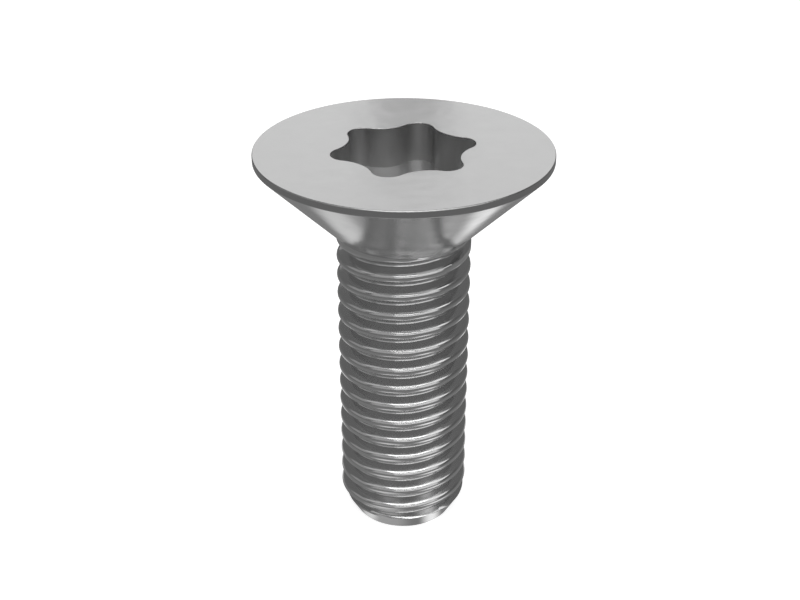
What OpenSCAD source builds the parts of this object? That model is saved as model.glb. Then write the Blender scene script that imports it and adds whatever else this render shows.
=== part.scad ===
// Countersunk screw with a six-lobed socket, M8 x 25, threaded up to the head.
// Millimetres. The end face lies on Z = 0 and the head is at the top.

/* [Thread] */
// major diameter of the thread, which is also the shank's
thread_d = 8; // [4:0.5:12]
// rise of the thread in one turn, right-handed
thread_pitch = 1.25; // [0.7:0.05:1.75]
// width of the thread's flat crest along the axis
crest_w = 0.36; // [0.1:0.02:0.5]
// radius of the thread's rounded root
root_r = 0.15; // [0.06:0.01:0.2]
// angle between the two flanks of the thread
flank_angle = 60; // [50:1:70]
// plain shank left between the groove and the cone
neck_gap = 0.05; // [0.05:0.05:1]
// turn over which the groove runs out below the head
runout_turn = 90; // [60:15:360]
// direction in which the groove leaves the end, round the axis
thread_start = 215; // [0:5:355]

/* [Head] */
// diameter of the head
head_d = 17.3; // [12:0.1:24]
// height of the head's upright rim
rim_h = 0.4; // [0.2:0.05:1]
// full angle of the countersunk cone
cone_angle = 90; // [80:1:100]
// edge break round the top face and under the rim
head_edge = 0.06; // [0.02:0.02:0.15]

/* [Body] */
// whole length, from the head's top face to the end face
overall_l = 24.6; // [16:0.1:60]
// diameter of the flat end face
end_d = 6.3; // [3:0.1:7]
// angle of the end's bevel from the axis
end_bevel = 30; // [20:1:50]

/* [Socket] */
// width of the six-lobed socket across two opposite lobes
socket_a = 8.55; // [6:0.05:10]
// width of the socket across two opposite flutes
socket_b = 6.75; // [5.2:0.05:8]
// radius of each lobe
lobe_r = 0.95; // [0.6:0.05:1.2]
// depth of the socket at its lobes
socket_depth = 2.4; // [1:0.1:4]
// how much deeper the punch's blunt point leaves the socket's middle
floor_dish = 0.4; // [0.1:0.05:1]

/* [Hidden] */
$fn = 96;
thread_r = thread_d / 2;
head_r = head_d / 2;
end_r = end_d / 2;

// Heights of the edges of the turned blank.
bevel_h = (thread_r - end_r) / tan(end_bevel);
head_underside = overall_l - rim_h;
cone_h = (head_r - thread_r) / tan(cone_angle / 2);
cone_end = head_underside - cone_h;

// Depth at which the flanks would meet, and that of the rounded root.
sharp_depth = (thread_pitch - crest_w) / 2 / tan(flank_angle / 2);
groove_depth = sharp_depth - root_r * (1 / sin(flank_angle / 2) - 1);
// The cutter stands out past the crest, where it is a little wider.
cutter_out = 0.1;
segs = 36;
root_steps = 3;

// How far the cutter is drawn out of the shank, where f is 1 for the full
// groove and 0 where its rounded nose has just left the shank.
nose_clear = 0.03;
function drawn_out(f) = (1 - f) * (groove_depth + nose_clear);
function outer_half(f) = (sharp_depth + cutter_out - drawn_out(f)) * tan(flank_angle / 2);

// The groove climbs from below the end face to the neck under the cone.
runout_rise = thread_pitch * runout_turn / 360;
top_full = cone_end - neck_gap - max(outer_half(1), runout_rise + outer_half(0));
groove_base = -thread_pitch;
full_turn = 360 * (top_full - groove_base) / thread_pitch;
full_steps = ceil(full_turn / (360 / segs));
run_steps = ceil(runout_turn / (360 / segs));

// Turn angle and fullness of the groove at each step.
function turn_at(i) = i <= full_steps
    ? full_turn * i / full_steps
    : full_turn + runout_turn * (i - full_steps) / run_steps;
function full_at(i) = i <= full_steps ? 1 : 1 - (i - full_steps) / run_steps;

// The cutter's section as pairs of radius and height: two outer corners, then
// an arc round the nose that runs into both flanks.
function profile(f) = let (
    far_r = thread_r + cutter_out,
    nose_r = thread_r - groove_depth + root_r + drawn_out(f),
    sweep = 90 - flank_angle / 2
) concat(
    [[far_r, -outer_half(f)], [far_r, outer_half(f)]],
    [
        for (i = [0:root_steps])
            let (b = sweep * (1 - 2 * i / root_steps))
            [nose_r - root_r * cos(b), root_r * sin(b)]
    ]
);
corners = root_steps + 3;

// The section's corners in space at one step.
function section(i) = let (
    t = turn_at(i),
    z = groove_base + thread_pitch * t / 360,
    a = t + thread_start
) [for (p = profile(full_at(i))) [p[0] * cos(a), p[0] * sin(a), z + p[1]]];

// Centres of the lobes and flutes, whose arcs run into each other smoothly.
lobe_c = socket_a / 2 - lobe_r;
flute_r = (lobe_r * lobe_r - lobe_c * lobe_c - socket_b * socket_b / 4
    + lobe_c * socket_b * cos(30)) / (socket_b - 2 * lobe_c * cos(30) - 2 * lobe_r);
flute_c = socket_b / 2 + flute_r;
// The flutes bite this hair into the lobes, so the arcs cross cleanly.
flute_bite = 0.002;

// The turned blank: end bevel, shank, countersunk cone and upright rim.
module blank() {
    e = head_edge;
    rotate_extrude()
        polygon([
            [0, 0],
            [end_r, 0],
            [thread_r, bevel_h],
            [thread_r, cone_end],
            [head_r - e * sin(cone_angle / 2), head_underside - e * cos(cone_angle / 2)],
            [head_r, head_underside + e],
            [head_r, overall_l - e],
            [head_r - e, overall_l],
            [0, overall_l]
        ]);
}

// The helical groove between the crests, as the die leaves it.
module thread_groove() {
    last = full_steps + run_steps;
    points = [for (i = [0:last]) each section(i)];
    sides = [
        for (i = [0:last - 1])
            for (k = [0:corners - 1])
                for (half = [0:1])
                    let (a = corners * i + k, b = corners * i + (k + 1) % corners)
                    half == 0 ? [a, b, b + corners] : [a, b + corners, a + corners]
    ];
    start_cap = [for (k = [0:corners - 1]) corners - 1 - k];
    end_cap = [for (k = [0:corners - 1]) corners * last + k];
    polyhedron(points = points, faces = concat([start_cap], sides, [end_cap]), convexity = 20);
}

// The socket's outline: lobes joined to the core, with the flutes cut back.
module lobed_outline() {
    difference() {
        union() {
            polygon([
                for (k = [0:11])
                    let (r = k % 2 == 0 ? lobe_c : flute_c)
                    [r * cos(30 * k), r * sin(30 * k)]
            ]);
            for (k = [0:5])
                rotate(60 * k) translate([lobe_c, 0]) circle(lobe_r);
        }
        for (k = [0:5])
            rotate(60 * k + 30) translate([flute_c, 0]) circle(flute_r + flute_bite);
    }
}

// The punch that leaves the socket: a lobed bar with a blunt conical point.
module socket() {
    lobe_floor = overall_l - socket_depth;
    past_top = overall_l + 1;
    past_lobe = socket_a / 2 + 0.5;
    intersection() {
        translate([0, 0, lobe_floor - floor_dish])
            linear_extrude(past_top - lobe_floor + floor_dish) lobed_outline();
        rotate_extrude()
            polygon([
                [0, lobe_floor - floor_dish],
                [socket_a / 2, lobe_floor],
                [past_lobe, lobe_floor],
                [past_lobe, past_top + 1],
                [0, past_top + 1]
            ]);
    }
}

module screw() {
    color([0.62, 0.63, 0.65])
        difference() {
            blank();
            thread_groove();
            socket();
        }
}

screw();
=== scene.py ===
# %% [markdown]
# # A countersunk screw
# The screw is one piece of stainless steel: a flat head on a 90 degree cone, a
# six-lobed driving socket, and a thread that runs from just under the cone to a
# bevelled end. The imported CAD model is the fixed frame. It has the right sizes,
# but flat facets on the thread and sharp corners on its crests, so a finer mesh
# of the same form takes its place here.

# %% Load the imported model
import math

import bmesh
import bpy
import numpy as np
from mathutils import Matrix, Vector


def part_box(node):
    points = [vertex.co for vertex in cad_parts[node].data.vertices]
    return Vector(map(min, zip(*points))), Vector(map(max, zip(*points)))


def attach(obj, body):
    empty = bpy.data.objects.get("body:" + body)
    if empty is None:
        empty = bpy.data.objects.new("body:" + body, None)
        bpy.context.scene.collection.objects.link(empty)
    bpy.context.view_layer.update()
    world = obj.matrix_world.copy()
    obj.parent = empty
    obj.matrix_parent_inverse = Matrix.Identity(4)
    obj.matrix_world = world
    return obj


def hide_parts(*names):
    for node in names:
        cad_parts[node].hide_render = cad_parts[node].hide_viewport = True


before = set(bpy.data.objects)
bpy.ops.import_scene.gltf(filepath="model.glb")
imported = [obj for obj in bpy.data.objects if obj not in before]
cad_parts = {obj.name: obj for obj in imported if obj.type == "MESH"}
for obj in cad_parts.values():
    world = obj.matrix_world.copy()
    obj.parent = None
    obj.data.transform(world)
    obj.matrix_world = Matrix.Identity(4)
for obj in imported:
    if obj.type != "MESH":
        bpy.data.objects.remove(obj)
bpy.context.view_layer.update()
print("Nodes in the frame:", list(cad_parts))

# %% [markdown]
# ## The sizes
# A maker reads a screw from a drawing, so its sizes are written as one would
# give them there, in millimetres, and turned to metres by one factor. They
# repeat the CAD model's own sizes, and only the length is read from the model.
# The cone's sides slope at 45 degrees, so it is as high as the head stands out.

# %% Sizes of the head and the shank
MM = 0.001
overall_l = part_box("screw")[1].z / MM
thread_r = 4.0
head_r = 8.65
rim_h = 0.4
cone_top = overall_l - rim_h
cone_end = cone_top - (head_r - thread_r)
print("Length", round(overall_l, 2), "cone ends at", round(cone_end, 2))

# %% [markdown]
# ## Adding nodes
# Geometry and shader trees are both built from nodes, so one small function
# adds any node. A link may be another node, which stands for its first output,
# a socket, or a plain value.

# %% One function adds a node
MATH = "ShaderNodeMath"


def add(tree, kind, links=None, **settings):
    node = tree.nodes.new(kind)
    for name, value in settings.items():
        setattr(node, name, value)
    for name, value in (links or {}).items():
        target = node.inputs[name]
        if isinstance(value, bpy.types.Node):
            tree.links.new(value.outputs[0], target)
        elif isinstance(value, bpy.types.NodeSocket):
            tree.links.new(value, target)
        else:
            target.default_value = value
    return node


# %% [markdown]
# ## The thread's section
# A rolled thread has one section that repeats at every pitch: a rounded root,
# two straight flanks 60 degrees apart, and a crest whose corners the die leaves
# round. Only one pitch of it is drawn, as a row of points. Its corners are
# short arcs, because a true edge catches a thin line of light.

# %% Sizes of the thread
pitch = 1.25
crest_w = 0.36
root_r = 0.15
half_flank = math.radians(30)
# The depth at which the flanks would meet, and that of the rounded root.
sharp_depth = (pitch - crest_w) / 2 / math.tan(half_flank)
groove_depth = sharp_depth - root_r * (1 / math.sin(half_flank) - 1)
# The crest's corners are worn this round, and the flat between them nearly goes.
crest_round = 0.3
print("Groove", round(groove_depth, 3), "mm deep")

# %% Draw one pitch of the thread
ARC_STEPS = (0.25, 0.5, 0.75, 1)


def half_section():
    """Points (height, radius) from the root's middle up to the crest's middle."""
    turn = math.pi / 2 - half_flank
    points = []
    for share in (0, *ARC_STEPS):
        a = turn * share
        points.append((root_r * math.sin(a), thread_r - groove_depth + root_r * (1 - math.cos(a))))
    # Points near both ends of the flank hold its shading flat.
    corner = (pitch - crest_w) / 2
    reach = crest_round * math.tan(turn / 2)
    foot = points[-1]
    top = (corner - reach * math.sin(half_flank), thread_r - reach * math.cos(half_flank))
    for share in (0.1, 0.5, 0.9, 1):
        points.append(tuple(f + (t - f) * share for f, t in zip(foot, top)))
    for share in ARC_STEPS:
        a = turn * (1 - share)
        points.append(
            (corner + reach - crest_round * math.sin(a), thread_r - crest_round * (1 - math.cos(a)))
        )
    edge = points[-1][0]
    for share in (0.15, 0.6, 1):
        points.append((edge + (pitch / 2 - edge) * share, thread_r))
    return points


half = half_section()
section = half + [(pitch - h, r) for h, r in half[-2:0:-1]]
section_mesh = bpy.data.meshes.new("thread_section")
section_mesh.from_pydata([(r * MM, 0, h * MM) for h, r in section], [], [])
section_object = bpy.data.objects.new("thread_section", section_mesh)
bpy.context.scene.collection.objects.link(section_object)
print("Points in one pitch:", len(section))

# %% [markdown]
# ## The threaded shank
# The shank follows a rule: carry the section round the axis, and let it climb
# by one pitch in each turn. That is a job for Geometry Nodes. A grid has one
# row for each point of the section in each turn, and its columns go round.
# Each grid point looks up its own place on the section, climbs with its column
# and is bent onto the helix. Below the cone the groove fills up, as it does
# where a rolling die lets go, and at the end the radius is cut to the bevel.

# %% Where the full groove ends below the cone
neck_gap = 0.05
runout_turns = 0.25
# As in the CAD model, the cutter stands out past the crest and ends clear of it.
stand_out = 0.1
nose_clear = 0.03
full_half = (sharp_depth + stand_out) * math.tan(half_flank)
gone_half = (sharp_depth - groove_depth + stand_out - nose_clear) * math.tan(half_flank)
top_full = cone_end - neck_gap - max(full_half, runout_turns * pitch + gone_half)
# The groove starts one turn below the end face.
full_turns = top_full / pitch + 1
print("Full groove for", round(full_turns, 2), "turns")

# %% Named inputs of the shank's tree
# The columns are fine enough that the crests look round.
COLUMNS = 180
thread_start = 215
end_r = 3.15
bevel_slope = math.tan(math.radians(30))
shank = bpy.data.node_groups.new("threaded_shank", "GeometryNodeTree")
shank_values = {}
for name, kind, value in [
    ("Section", "NodeSocketObject", section_object),
    ("Points in Section", "NodeSocketInt", len(section)),
    ("Turns", "NodeSocketInt", math.ceil(cone_end / pitch) + 1),
    ("Columns", "NodeSocketInt", COLUMNS),
    ("Pitch", "NodeSocketFloat", pitch * MM),
    ("Start Angle", "NodeSocketFloat", math.radians(thread_start)),
    ("Crest Radius", "NodeSocketFloat", thread_r * MM),
    ("Groove Depth", "NodeSocketFloat", groove_depth * MM),
    ("Full Turns", "NodeSocketFloat", full_turns),
    ("Run-out Turns", "NodeSocketFloat", runout_turns),
    ("Neck Height", "NodeSocketFloat", cone_end * MM),
    ("End Radius", "NodeSocketFloat", end_r * MM),
    ("Bevel Slope", "NodeSocketFloat", bevel_slope),
]:
    socket = shank.interface.new_socket(name=name, in_out="INPUT", socket_type=kind)
    shank_values[socket.identifier] = value
shank.interface.new_socket(name="Geometry", in_out="OUTPUT", socket_type="NodeSocketGeometry")
given = add(shank, "NodeGroupInput").outputs
print("Named inputs:", len(shank_values))

# %% Rows and columns of the grid
row_total = add(
    shank,
    MATH,
    {0: given["Turns"], 1: given["Points in Section"], 2: 1.0},
    operation="MULTIPLY_ADD",
)
column_total = add(shank, MATH, {0: given["Columns"], 1: 1.0}, operation="ADD")
grid = add(
    shank, "GeometryNodeMeshGrid", {"Vertices X": column_total, "Vertices Y": row_total}
)
index = add(shank, "GeometryNodeInputIndex")
columns_before = add(shank, MATH, {0: index, 1: row_total}, operation="DIVIDE")
column = add(shank, MATH, {0: columns_before}, operation="FLOOR")
row = add(shank, MATH, {0: index, 1: row_total}, operation="MODULO")
print("Nodes so far:", len(shank.nodes))

# %% Each point's turn and its place on the section
turns_before = add(shank, MATH, {0: row, 1: given["Points in Section"]}, operation="DIVIDE")
turn = add(shank, MATH, {0: turns_before}, operation="FLOOR")
place = add(shank, MATH, {0: row, 1: given["Points in Section"]}, operation="MODULO")
section_info = add(shank, "GeometryNodeObjectInfo", {"Object": given["Section"]})
looked_up = add(
    shank,
    "GeometryNodeSampleIndex",
    {
        "Geometry": section_info.outputs["Geometry"],
        "Value": add(shank, "GeometryNodeInputPosition"),
        "Index": place,
    },
    data_type="FLOAT_VECTOR",
)
on_section = add(shank, "ShaderNodeSeparateXYZ", {0: looked_up}).outputs
print("Nodes so far:", len(shank.nodes))

# %% Climb the helix, between the end face and the neck
around = add(shank, MATH, {0: column, 1: given["Columns"]}, operation="DIVIDE")
climb = add(shank, MATH, {0: turn, 1: around}, operation="ADD")
climb_from_end = add(shank, MATH, {0: climb, 1: 1.0}, operation="SUBTRACT")
rise = add(
    shank,
    MATH,
    {0: climb_from_end, 1: given["Pitch"], 2: on_section["Z"]},
    operation="MULTIPLY_ADD",
)
above_end = add(shank, MATH, {0: rise, 1: 0.0}, operation="MAXIMUM")
height = add(shank, MATH, {0: above_end, 1: given["Neck Height"]}, operation="MINIMUM")
print("Nodes so far:", len(shank.nodes))

# %% Fill the groove below the cone and cut the bevel
# The upper half of a section already belongs to the next turn's root.
half_way = add(shank, MATH, {0: given["Points in Section"], 1: 0.5}, operation="MULTIPLY")
upper_half = add(shank, MATH, {0: place, 1: half_way}, operation="GREATER_THAN")
own_root = add(shank, MATH, {0: climb, 1: upper_half}, operation="ADD")
past_full = add(shank, MATH, {0: own_root, 1: given["Full Turns"]}, operation="SUBTRACT")
filling = add(
    shank,
    MATH,
    {0: past_full, 1: given["Run-out Turns"]},
    operation="DIVIDE",
    use_clamp=True,
)
filled = add(
    shank,
    MATH,
    {0: filling, 1: given["Groove Depth"], 2: on_section["X"]},
    operation="MULTIPLY_ADD",
)
grooved = add(shank, MATH, {0: filled, 1: given["Crest Radius"]}, operation="MINIMUM")
bevel = add(
    shank,
    MATH,
    {0: height, 1: given["Bevel Slope"], 2: given["End Radius"]},
    operation="MULTIPLY_ADD",
)
radius = add(shank, MATH, {0: grooved, 1: bevel}, operation="MINIMUM")
print("Nodes so far:", len(shank.nodes))

# %% Bend the grid onto the axis and close its seam
# The seam's points, and those of rows cut off at both ends, lie closer than this, in mm.
same_point = 0.002
angle = add(
    shank,
    MATH,
    {0: around, 1: 2 * math.pi, 2: given["Start Angle"]},
    operation="MULTIPLY_ADD",
)
cosine = add(shank, MATH, {0: angle}, operation="COSINE")
sine = add(shank, MATH, {0: angle}, operation="SINE")
spot = add(
    shank,
    "ShaderNodeCombineXYZ",
    {
        "X": add(shank, MATH, {0: radius, 1: cosine}, operation="MULTIPLY"),
        "Y": add(shank, MATH, {0: radius, 1: sine}, operation="MULTIPLY"),
        "Z": height,
    },
)
bent = add(shank, "GeometryNodeSetPosition", {"Geometry": grid, "Position": spot})
closed = add(shank, "GeometryNodeMergeByDistance", {"Geometry": bent, "Distance": same_point * MM})
real = add(shank, "GeometryNodeRealizeInstances", {"Geometry": closed})
print("Nodes so far:", len(shank.nodes))

# %% [markdown]
# ## The steel
# Stainless steel for screws is cold formed and then tumbled, which leaves a
# grey, satin surface: reflections stay readable but their edges are soft.
# A metal has no diffuse colour, so its look is its reflections, and the
# roughness carries the finish. The same steel has three finishes here: the
# tumbled outside, the thread that the dies burnish, and the socket, which
# tumbling can't reach and which keeps the punch's duller walls. Their roughness
# is the real finish. Their colours differ too: the thread's is painted a little
# lighter, as painted light on its shaded flanks, and the socket's a little
# darker, as painted shade in the recess. All three come from one function. Cold
# forming leaves shallow dents, a millimetre or two across and one to three
# hundredths deep, that make the edges of reflections uneven. They could be cut
# into the mesh, but a bump is lighter and as true.

# %% Colours are written as sRGB and used as linear light
def linear(hex_colour):
    parts = [int(hex_colour[i : i + 2], 16) / 255 for i in (0, 2, 4)]
    return (
        *[c / 12.92 if c <= 0.04045 else ((c + 0.055) / 1.055) ** 2.4 for c in parts],
        1.0,
    )


print("Middle grey as linear light:", round(linear("808080")[0], 3))

# %% One steel in three finishes
# Across one dull or bright spot, and across one dent, in mm.
SPOT_SIZE = 1.2
DENT_SIZE = 1.6


def steel(name, colour, smooth, rough, dent_depth):
    """Stainless steel with a roughness between two values and dents of a depth in mm."""
    material = bpy.data.materials.new(name)
    material.use_nodes = True
    tree = material.node_tree
    tree.nodes.clear()
    coords = add(tree, "ShaderNodeTexCoord").outputs["Object"]
    spots = add(
        tree,
        "ShaderNodeTexNoise",
        {"Vector": coords, "Scale": 1 / (SPOT_SIZE * MM), "Detail": 3.0, "Roughness": 0.6},
    )
    # Noise hardly leaves 0.3 to 0.7, so that stretch covers the whole finish.
    unevenness = add(
        tree,
        "ShaderNodeMapRange",
        {"Value": spots, "From Min": 0.3, "From Max": 0.7, "To Min": smooth, "To Max": rough},
    )
    dents = add(
        tree,
        "ShaderNodeTexNoise",
        {"Vector": coords, "Scale": 1 / (DENT_SIZE * MM), "Detail": 1.0},
    )
    bump = add(
        tree, "ShaderNodeBump", {"Height": dents, "Strength": 1.0, "Distance": dent_depth * MM}
    )
    surface = add(
        tree,
        "ShaderNodeBsdfPrincipled",
        {
            "Base Color": linear(colour),
            "Metallic": 1.0,
            "Roughness": unevenness,
            "Normal": bump,
        },
    )
    add(tree, "ShaderNodeOutputMaterial", {"Surface": surface})
    return material


# Tumbled: grey and satin, with soft but readable reflections.
tumbled_steel = steel("tumbled_stainless_steel", "C7C7C7", 0.15, 0.2, 0.018)
# Rolled: the dies leave the thread smoother, and its lighter colour is painted light on the shaded
# flanks.
rolled_steel_painted_light = steel("rolled_stainless_steel_painted_light", "D3D3D3", 0.14, 0.2, 0.03)
# Punched: the socket's walls are duller, so what they mirror runs together, and their darker colour is
# painted shade in the recess.
punched_steel_painted_shade = steel("punched_stainless_steel_painted_shade", "C1C1C1", 0.3, 0.36, 0.01)
print("Finishes:", [m.name for m in (tumbled_steel, rolled_steel_painted_light, punched_steel_painted_shade)])

# %% [markdown]
# ## From the tree to a mesh
# The shank is the rolled part of the screw, so its tree ends in that finish,
# whose lighter colour is painted light. A modifier could stay live, but the
# shank has still to grow into the head, so its result is kept once as a plain
# mesh, and the objects that made it go.

# %% Finish the tree and make the shank's mesh
finished = add(shank, "GeometryNodeSetMaterial", {"Geometry": real, "Material": rolled_steel_painted_light})
add(shank, "NodeGroupOutput", {"Geometry": finished})

shank_object = bpy.data.objects.new("shank_maker", bpy.data.meshes.new("shank_maker"))
bpy.context.scene.collection.objects.link(shank_object)
maker = shank_object.modifiers.new("thread", "NODES")
maker.node_group = shank
for identifier, value in shank_values.items():
    maker[identifier] = value
bpy.context.view_layer.update()
evaluated = shank_object.evaluated_get(bpy.context.evaluated_depsgraph_get())
shank_mesh = bpy.data.meshes.new_from_object(evaluated)
shank_object.modifiers.clear()
bpy.data.objects.remove(shank_object)
bpy.data.objects.remove(section_object)
print("Shank:", len(shank_mesh.vertices), "points,", len(shank_mesh.polygons), "faces")

# %% [markdown]
# ## The head and its socket
# The head is round, so it could be a plain spin of its outline, but the socket
# isn't. Both are made as rings of points from the socket's middle outwards,
# over the top face, round the rim and down the cone. A ring's radius may change
# with the angle, which gives the six lobes. The lobes and flutes are arcs that
# meet smoothly, so moving the outline out by a little only grows one radius and
# shrinks the other, and that rounds the socket's edges too.

# %% The arcs of the socket's outline
socket_a = 8.55
socket_b = 6.75
lobe_r = 0.95
sixth = math.pi / 6
lobe_c = socket_a / 2 - lobe_r
flute_r = (
    lobe_r**2 - lobe_c**2 - socket_b**2 / 4 + lobe_c * socket_b * math.cos(sixth)
) / (socket_b - 2 * lobe_c * math.cos(sixth) - 2 * lobe_r)
flute_c = socket_b / 2 + flute_r
meet = lobe_r / (lobe_r + flute_r)
touch_angle = math.atan2(
    meet * flute_c * math.sin(sixth),
    lobe_c + meet * (flute_c * math.cos(sixth) - lobe_c),
)
print("Lobe radius", lobe_r, "flute radius", round(flute_r, 3))

# %% The outline as a radius at each angle
# The socket's arcs are tight and mirror each other, so its rings are finer.
FINER = 4


def angles_of(count):
    return np.radians(thread_start + np.arange(count) * 360 / count)


angles = angles_of(COLUMNS)
fine_angles = angles_of(COLUMNS * FINER)


def lobed(out, around=fine_angles):
    """The outline's radius at each angle, moved out by a distance in mm."""
    from_lobe = np.abs((around + sixth) % (2 * sixth) - sixth)
    from_flute = sixth - from_lobe
    lobe = lobe_c * np.cos(from_lobe) + np.sqrt(
        np.maximum((lobe_r + out) ** 2 - (lobe_c * np.sin(from_lobe)) ** 2, 0)
    )
    flute = flute_c * np.cos(from_flute) - np.sqrt(
        np.maximum((flute_r - out) ** 2 - (flute_c * np.sin(from_flute)) ** 2, 0)
    )
    return np.where(from_lobe < touch_angle, lobe, flute)


print("Across lobes", round(2 * lobed(0).max(), 3), "across flutes", round(2 * lobed(0).min(), 3))

# %% Rings of points
rings = []


def ring(radius, z, around=angles):
    """Keep a ring of points: their angles, and a radius and height for each."""
    rings.append((around, np.broadcast_to(radius, around.shape), np.broadcast_to(z, around.shape)))


def arc(steps, sweep=90):
    """Angles in radians from 0 up to a sweep in degrees."""
    return [math.radians(sweep * i / steps) for i in range(steps + 1)]


print("Points in a ring:", len(angles), "and in the socket's:", len(fine_angles))

# %% The socket's floor and walls
# A ring held this close to each rounding, in mm, keeps the flats shaded flat.
HOLD = 0.03
mouth_round = 0.03
socket_depth = 2.4
floor_dish = 0.4
floor_z = overall_l - socket_depth


def dished(radius):
    """The height of the socket's floor, which the punch's blunt point leaves deeper in the middle."""
    return floor_z - floor_dish * (1 - radius / (socket_a / 2))


wall = lobed(0)
for share in (0.5, 1):
    spread = lobed(-HOLD) * share
    ring(spread, dished(spread), fine_angles)
for z in (
    dished(wall),
    dished(wall) + HOLD,
    floor_z + socket_depth / 2,
    overall_l - mouth_round - HOLD,
):
    ring(wall, z, fine_angles)
socket_rings = len(rings)
for a in arc(3):
    rounded = lobed(mouth_round * (1 - math.cos(a)))
    ring(rounded, overall_l - mouth_round * (1 - math.sin(a)), fine_angles)
print("Rings in the socket:", len(rings))

# %% The top face and the rim
rim_round = 0.06
ring(lobed(mouth_round + HOLD), overall_l, fine_angles)
inside = lobed(mouth_round + HOLD, angles)
outside = head_r - rim_round - HOLD
for share in (0.3, 0.65, 1):
    ring(inside + (outside - inside) * share, overall_l)
for a in arc(4):
    ring(head_r - rim_round * (1 - math.sin(a)), overall_l - rim_round * (1 - math.cos(a)))
ring(head_r, overall_l - rim_round - HOLD)
print("Rings to the foot of the rim:", len(rings))

# %% The edge under the rim and the cone
under_round = 0.08
under_sweep = 45
under = cone_top + under_round * math.tan(math.radians(under_sweep / 2))
ring(head_r, under + HOLD)
for a in arc(3, under_sweep):
    ring(head_r - under_round * (1 - math.cos(a)), under - under_round * math.sin(a))
# The cone's own surface starts at the last ring of that rounding.
start_r, start_z = rings[-1][1][0], rings[-1][2][0]
for down in (HOLD, (start_r - thread_r) / 3, (start_r - thread_r) * 2 / 3):
    ring(start_r - down, start_z - down)
ring(thread_r + HOLD, cone_end + HOLD)
ring(thread_r, cone_end)
print("Rings on the whole head:", len(rings))

# %% [markdown]
# ## One closed skin
# The real screw is one piece, so the head, the shank and the end face become
# one closed mesh. They could stay apart and only touch, but then the neck and
# the end would show a seam. Their rings share the same angles, so the points
# of neighbours fall together and are merged. Each face gets the finish of the
# step that formed it, with painted light in the thread's colour and painted
# shade in the socket's, and edges sharper than 38 degrees stay crisp.

# %% The head and the end face from their rings
TUMBLED, ROLLED_PAINTED_LIGHT, PUNCHED_PAINTED_SHADE = range(3)
skin = bmesh.new()


def cover(rows, middle_z, punched_rows=0):
    """Faces between rings of points, and a fan to a middle point inside the first ring."""
    made = []
    for around, radius, z in rows:
        points = zip(radius * np.cos(around), radius * np.sin(around), z)
        made.append([skin.verts.new(np.array(p) * MM) for p in points])
    middle = skin.verts.new((0, 0, middle_z * MM))
    first = made[0]
    for j, vert in enumerate(first):
        fan = skin.faces.new((middle, vert, first[(j + 1) % len(first)]))
        fan.material_index = PUNCHED_PAINTED_SHADE if punched_rows else TUMBLED
    for number, (inner, outer) in enumerate(zip(made, made[1:]), 1):
        finer = len(inner) // len(outer)
        for j in range(len(outer)):
            between = [inner[(j * finer + i) % len(inner)] for i in range(finer, -1, -1)]
            face = skin.faces.new((outer[j], outer[(j + 1) % len(outer)], *between))
            face.material_index = PUNCHED_PAINTED_SHADE if number < punched_rows else TUMBLED


cover(rings, floor_z - floor_dish, socket_rings)
# A ring just inside the end face's edge keeps its shading flat.
end_rings = [
    (angles, np.full(COLUMNS, end_r * share), np.zeros(COLUMNS)) for share in (0.5, 0.98, 1)
]
cover(end_rings, 0)
print("Faces on the head and the end:", len(skin.faces))

# %% Add the shank, merge the seams and keep sharp edges crisp
# Points of neighbouring parts lie closer than this, in mm.
same_seam_point = 0.003
crisp_angle = math.radians(38)
first_rolled = len(skin.faces)
skin.from_mesh(shank_mesh)
skin.faces.ensure_lookup_table()
for face in skin.faces[first_rolled:]:
    face.material_index = ROLLED_PAINTED_LIGHT
bmesh.ops.remove_doubles(skin, verts=skin.verts, dist=same_seam_point * MM)
bmesh.ops.recalc_face_normals(skin, faces=skin.faces)
for face in skin.faces:
    face.smooth = True
for edge in skin.edges:
    if len(edge.link_faces) == 2 and edge.calc_face_angle() > crisp_angle:
        edge.smooth = False
print("Open edges", sum(1 for e in skin.edges if len(e.link_faces) != 2))
print("Volume in mm3", round(skin.calc_volume() / MM**3, 1))

# %% The screw's mesh and object
screw_mesh = bpy.data.meshes.new("screw_visual")
skin.to_mesh(screw_mesh)
skin.free()
for material in (tumbled_steel, rolled_steel_painted_light, punched_steel_painted_shade):
    screw_mesh.materials.append(material)
screw = bpy.data.objects.new("screw_visual", screw_mesh)
bpy.context.scene.collection.objects.link(screw)
print("Triangles", sum(len(p.vertices) - 2 for p in screw_mesh.polygons))

# %% [markdown]
# ## In the frame
# The finer mesh takes the CAD solid's place: it rides on the model's one body,
# and its look goes by the name of its material.

# %% The finer mesh stands for the CAD solid
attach(screw, "root")
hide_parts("screw")
print("Finer mesh in place of the CAD solid")

# %% [markdown]
# ## Camera
# The picture looks down on the screw by about 28 degrees. The distance and the
# lens come from how much narrower the far end of the shank looks than its top.
# Places in the scene are given as right, away and up in the picture, because
# the socket's lobes are turned by 15 degrees to it.

# %% Directions in the picture
picture_turn = math.radians(-15)
right = Vector((math.cos(picture_turn), math.sin(picture_turn), 0))
away = Vector((-math.sin(picture_turn), math.cos(picture_turn), 0))
up = Vector((0, 0, 1))


def in_picture(x, y, z):
    """A place in metres from millimetres right, away and up in the picture."""
    return (right * x + away * y + up * z) * MM


print("Away from the camera:", [round(v, 3) for v in away])

# %% Place the camera
# The angle and the distances, in mm, were fitted to the photograph.
scene = bpy.context.scene
look_down = math.radians(28.48)
distance = 76.1
below_top = 9.82
left_of_axis = 0.22
camera_data = bpy.data.cameras.new("camera")
camera_data.sensor_width = 36
camera_data.lens = 56.4
camera_data.clip_start = 1 * MM
camera = bpy.data.objects.new("camera", camera_data)
scene.collection.objects.link(camera)
scene.camera = camera
aim = in_picture(-left_of_axis, 0, overall_l - below_top)
sight = away * math.cos(look_down) - up * math.sin(look_down)
camera.location = aim - sight * distance * MM
camera.rotation_mode = "QUATERNION"
camera.rotation_quaternion = sight.to_track_quat("-Z", "Y")
print("Camera at", [round(v / MM, 1) for v in camera.location])
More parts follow.
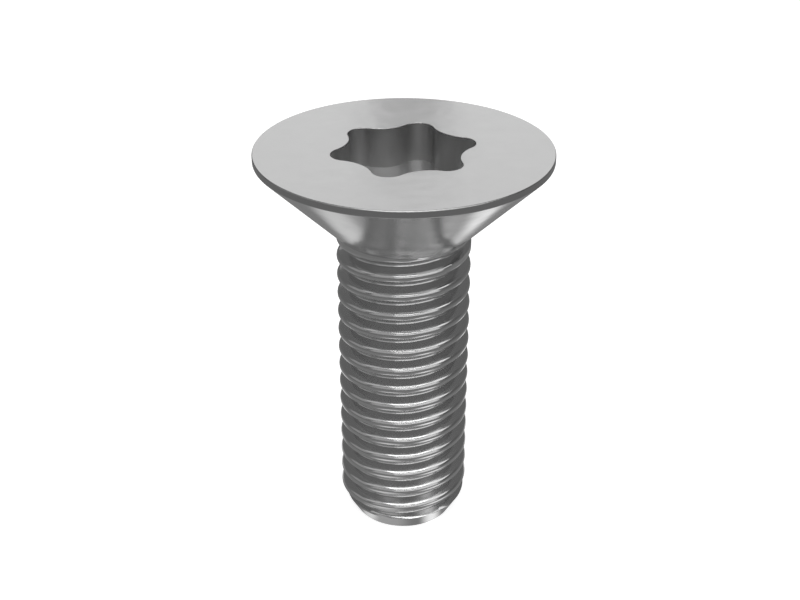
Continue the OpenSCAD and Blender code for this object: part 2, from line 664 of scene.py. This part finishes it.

# %% [markdown]
# ## The floor
# The screw stands on white paper. A glow added only to what the camera sees
# makes the paper white and leaves the screw's shadow on it. In the photograph
# the metal mirrors something darker: its rim and its crests are a dark grey,
# and only the cone and the bevel show bright patches. So in reflections the
# paper is painted grey, as painted shade, with painted pools of light on it: a
# wide faint one round the screw, and small bright ones behind it, in front of
# it and at its foot. A pool is a place right and away, a radius, a soft edge
# and a strength.

# %% White paper for the camera
PAPER_GLOW = 0.7
scene.view_settings.view_transform = "Standard"
floor_material = bpy.data.materials.new("white_paper")
floor_material.use_nodes = True
floor_tree = floor_material.node_tree
floor_tree.nodes.clear()
floor_ray = add(floor_tree, "ShaderNodeLightPath").outputs
seen_glow = add(floor_tree, MATH, {0: floor_ray["Is Camera Ray"], 1: PAPER_GLOW}, operation="MULTIPLY")
paper = add(floor_tree, "ShaderNodeBsdfDiffuse", {"Color": linear("E6E6E6")})
glow = add(floor_tree, "ShaderNodeEmission", {"Strength": seen_glow})
white_paper = add(floor_tree, "ShaderNodeAddShader", {0: paper, 1: glow})
print("View transform:", scene.view_settings.view_transform)

# %% Painted shade and painted pools of light on the paper, seen only in reflections
# The paper's painted shade: its brightness in reflections only.
PAPER_PAINTED_SHADE = 0.195
on_floor = add(floor_tree, "ShaderNodeTexCoord").outputs["Object"]
brightness = PAPER_PAINTED_SHADE
# Each pool adds painted light to the paper, seen only in reflections.
for pool_x, pool_y, pool_r, soft, extra in [
    (0, 0, 43, 3, 0.055),
    (-9, 10.5, 5, 3.5, 0.6),
    (12.5, 13, 4, 2.5, 1.0),
    (6.5, 7, 2.5, 2.5, 0.4),
    (-3.4, -7, 2.5, 2, 0.65),
    (7, -7.2, 3, 2.5, 1.2),
    (-1.2, -3.4, 1.3, 0.7, 0.2),
    (-2.5, -2.5, 0.6, 0.4, 0.5),
    (2, -2.8, 0.6, 0.5, 0.9),
]:
    from_middle = add(
        floor_tree,
        "ShaderNodeVectorMath",
        {0: on_floor, 1: in_picture(pool_x, pool_y, 0)},
        operation="DISTANCE",
    )
    pool = add(
        floor_tree,
        "ShaderNodeMapRange",
        {
            "Value": from_middle.outputs["Value"],
            "From Min": (pool_r - soft) * MM,
            "From Max": (pool_r + soft) * MM,
            "To Min": extra,
            "To Max": 0.0,
        },
        interpolation_type="SMOOTHSTEP",
    )
    brightness = add(floor_tree, MATH, {0: brightness, 1: pool}, operation="ADD")
mirrored = add(floor_tree, "ShaderNodeEmission", {"Strength": brightness})
by_ray = add(
    floor_tree,
    "ShaderNodeMixShader",
    {0: floor_ray["Is Glossy Ray"], 1: white_paper, 2: mirrored},
)
add(floor_tree, "ShaderNodeOutputMaterial", {"Surface": by_ray})
print("Nodes in the paper:", len(floor_tree.nodes))


# %% Lay the floor
def sheet(name, corners, material):
    """A flat sheet through four corners, which belongs to the studio."""
    mesh = bpy.data.meshes.new(name)
    mesh.from_pydata([in_picture(*c) for c in corners], [], [(0, 1, 2, 3)])
    mesh.materials.append(material)
    made = bpy.data.objects.new(name, mesh)
    scene.collection.objects.link(made)
    return made


def level(x0, x1, y0, y1, z):
    """The corners of a level sheet."""
    return [(x0, y0, z), (x1, y0, z), (x1, y1, z), (x0, y1, z)]


sheet("floor", level(-900, 900, -900, 900, 0), floor_material)
print("Floor placed")

# %% [markdown]
# ## White cards
# A bright metal shows its surroundings more than its own colour, so a
# photographer hangs white cards round it and watches the metal, not the cards.
# Each card here works on one form. The one behind lights the top face, and a
# dimmer patch shades its far side. Those in front and above draw the bright
# lines on the thread's crests, and those at the sides let the lines fade. They
# could be lamps, but a card has a plain, even face, and its strength is the
# brightness that the metal mirrors.

# %% A white card is seen only in reflections
def white_card(name, corners, strength):
    material = bpy.data.materials.new(name)
    material.use_nodes = True
    tree = material.node_tree
    tree.nodes.clear()
    light = add(tree, "ShaderNodeEmission", {"Strength": strength})
    add(tree, "ShaderNodeOutputMaterial", {"Surface": light})
    made = sheet(name, corners, material)
    made.visible_camera = False
    made.visible_shadow = False
    made.visible_diffuse = False
    print("Card", name, "of strength", strength)


# %% White cards round the screw
# The cards stand this far from the screw and hang this high, in mm.
FAR = 300


def upright(x0, y0, x1, y1, z0, z1):
    """The corners of an upright card between two places on the floor."""
    return [(x0, y0, z0), (x1, y1, z0), (x1, y1, z1), (x0, y0, z1)]


# The slanted card stands in the corner between the low card in front and those above.
slanted = [(-115, -FAR, 250), (105, -FAR, 250), (105, -255, FAR), (-115, -255, FAR)]
# Each card has its name, its corners and the brightness that the metal mirrors.
cards = [
    ("back", upright(-125, FAR, 125, FAR, 50, 240), 0.93),
    ("back_patch", upright(-8, FAR - 2, 13, FAR - 2, 60, 148), 0.55),
    ("left", upright(-FAR, -120, -FAR, 100, 50, 240), 0.35),
    ("right", upright(FAR, -120, FAR, 100, 50, 240), 0.12),
    ("front_low", upright(-90, -FAR, 90, -FAR, 20, 150), 0.95),
    ("front", slanted, 2.5),
    ("front_left", upright(-330, -200, -110, -FAR, 150, FAR), 0.5),
    ("front_right", upright(110, -FAR, 330, -200, 150, FAR), 1.0),
    ("front_left_low", upright(-330, -200, -92, -FAR, 20, 148), 0.4),
    ("front_right_low", upright(92, -FAR, 330, -200, 20, 148), 0.75),
    ("high_left", level(-330, -112, -FAR, -150, FAR + 1), 0.25),
    ("high_right", level(112, 330, -FAR, -150, FAR + 1), 0.4),
    ("above_left", level(-450, -110, -148, 10, FAR), 0.6),
    ("above", level(-108, 108, -148, 10, FAR), 3.0),
    ("above_right", level(110, 450, -148, 10, FAR), 1.2),
]
for name, corners, strength in cards:
    white_card(name, corners, strength)
print("Cards placed:", len(cards))

# %% [markdown]
# ## The background
# The photograph's background is plain white. The world is white to the camera,
# dark in reflections so that the cards stand out, and a plain middle level for
# all other light.

# %% The background
MIRRORED_WORLD = 0.16
LIGHTING_WORLD = 0.6
world = bpy.data.worlds.new("studio")
world.use_nodes = True
world_tree = world.node_tree
world_tree.nodes.clear()
world_ray = add(world_tree, "ShaderNodeLightPath").outputs
on_object = add(
    world_tree,
    "ShaderNodeMapRange",
    {"Value": world_ray["Is Glossy Ray"], "To Min": LIGHTING_WORLD, "To Max": MIRRORED_WORLD},
)
world_strength = add(
    world_tree, MATH, {0: on_object, 1: world_ray["Is Camera Ray"]}, operation="MAXIMUM"
)
white = add(world_tree, "ShaderNodeBackground", {"Color": (1, 1, 1, 1), "Strength": world_strength})
add(world_tree, "ShaderNodeOutputWorld", {"Surface": white})
scene.world = world
print("World:", world.name)

# %% [markdown]
# ## The lamp
# One large soft lamp in front and above gives the paper its soft shadow. The
# metal doesn't mirror it, because the cards do that work.

# %% One soft lamp
LAMP_WATTS = 0.14
LAMP_SIZE = 200
lamp_data = bpy.data.lights.new("softbox", "AREA")
lamp_data.shape = "SQUARE"
lamp_data.size = LAMP_SIZE * MM
lamp_data.energy = LAMP_WATTS
softbox = bpy.data.objects.new("softbox", lamp_data)
scene.collection.objects.link(softbox)
softbox.location = in_picture(5, -150, 280)
facing = in_picture(0, 0, 10) - softbox.location
softbox.rotation_mode = "QUATERNION"
softbox.rotation_quaternion = facing.to_track_quat("-Z", "Y")
softbox.visible_glossy = False
print("Lamp at", [round(v / MM) for v in softbox.location])
